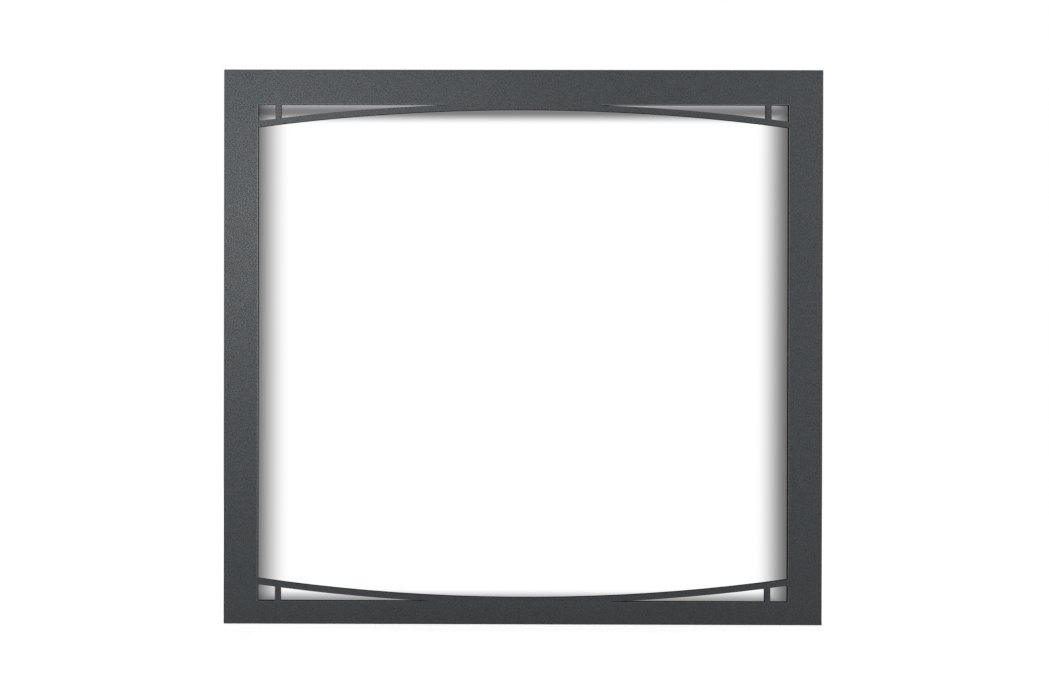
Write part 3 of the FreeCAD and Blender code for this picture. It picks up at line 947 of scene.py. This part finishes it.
def makeCard(spec):
    # white card close behind the opening, with a painted shadow along its rims; it shows only from the
    # front
    material, tree = stageMaterial("whiteCard")
    place = addNode(tree, "ShaderNodeTexCoord", (-900, 0))
    split = addNode(tree, "ShaderNodeSeparateXYZ", (-700, 0))
    tree.links.new(place.outputs["Object"], split.inputs[0])
    shades = []
    for axis, rims, top in (("X", spec["sideRims"], 0), ("Z", spec["levelRims"], -1100)):
        shade = 1.0
        for row, (rim, clear, share) in enumerate(rims.values()):
            y = top - 270 * row
            fade = remap(tree, split.outputs[axis], (-500, y), rim, clear, share, 1.0, smooth=True)
            shade = calc(tree, "MULTIPLY", fade, shade, (-300, y))
        shades.append(shade)
    left, right = cadLow.x + spec["inset"], cadHigh.x - spec["inset"]
    easing = remap(tree, split.outputs["X"], (-300, -2200), left, right, *spec["cornerShare"])
    deeper = calc(tree, "MINIMUM", *shades, (-100, 0))
    lighter = calc(tree, "MAXIMUM", *shades, (-100, -200))
    eased = calc(tree, "POWER", lighter, easing, (100, -200))
    shade = calc(tree, "MULTIPLY", deeper, eased, (300, 0))  # corners keep some light from both sides
    glow = addNode(tree, "ShaderNodeEmission", (500, 0), {"Color": plainWhite})
    tree.links.new(shade, glow.inputs["Strength"])
    through = addNode(tree, "ShaderNodeBsdfTransparent", (500, 150))
    rays = addNode(tree, "ShaderNodeLightPath", (-500, 600)).outputs
    surface = addNode(tree, "ShaderNodeNewGeometry", (-500, 900))
    front = calc(tree, "SUBTRACT", 1.0, surface.outputs["Backfacing"], (-300, 800))
    direct = calc(tree, "MAXIMUM", rays["Is Camera Ray"], rays["Is Glossy Ray"], (-300, 600))
    shown = calc(tree, "MULTIPLY", direct, front, (-100, 600))
    mix = addNode(tree, "ShaderNodeMixShader", (700, 0))
    leave = addNode(tree, "ShaderNodeOutputMaterial", (900, 0))
    tree.links.new(shown, mix.inputs[0])
    tree.links.new(through.outputs[0], mix.inputs[1])
    tree.links.new(glow.outputs[0], mix.inputs[2])
    tree.links.new(mix.outputs[0], leave.inputs["Surface"])
    low, high, depth = cadLow.z + spec["inset"], cadHigh.z - spec["inset"], spec["depth"]
    corners = [(left, depth, low), (right, depth, low), (right, depth, high), (left, depth, high)]
    flatSheet("card", corners, material)


def makeLamp(name, spec):
    data = bpy.data.lights.new(name, "AREA")
    data.shape = "SQUARE"
    data.size = spec["size"]
    data.energy = spec["power"]
    lamp = bpy.data.objects.new(name, data)
    bpy.context.scene.collection.objects.link(lamp)
    lamp.location = spec["place"]
    toward = Vector(spec["aim"]) - Vector(spec["place"])
    lamp.rotation_euler = toward.to_track_quat("-Z", "Y").to_euler()
    lamp.visible_camera = False


makeWorld(stageSpec)
makeFloor(stageSpec)
makeCard(cardSpec)
for name, spec in lamps.items():
    makeLamp(name, spec)
bpy.context.scene.view_settings.view_transform = "Standard"
print("stage and lamps set")
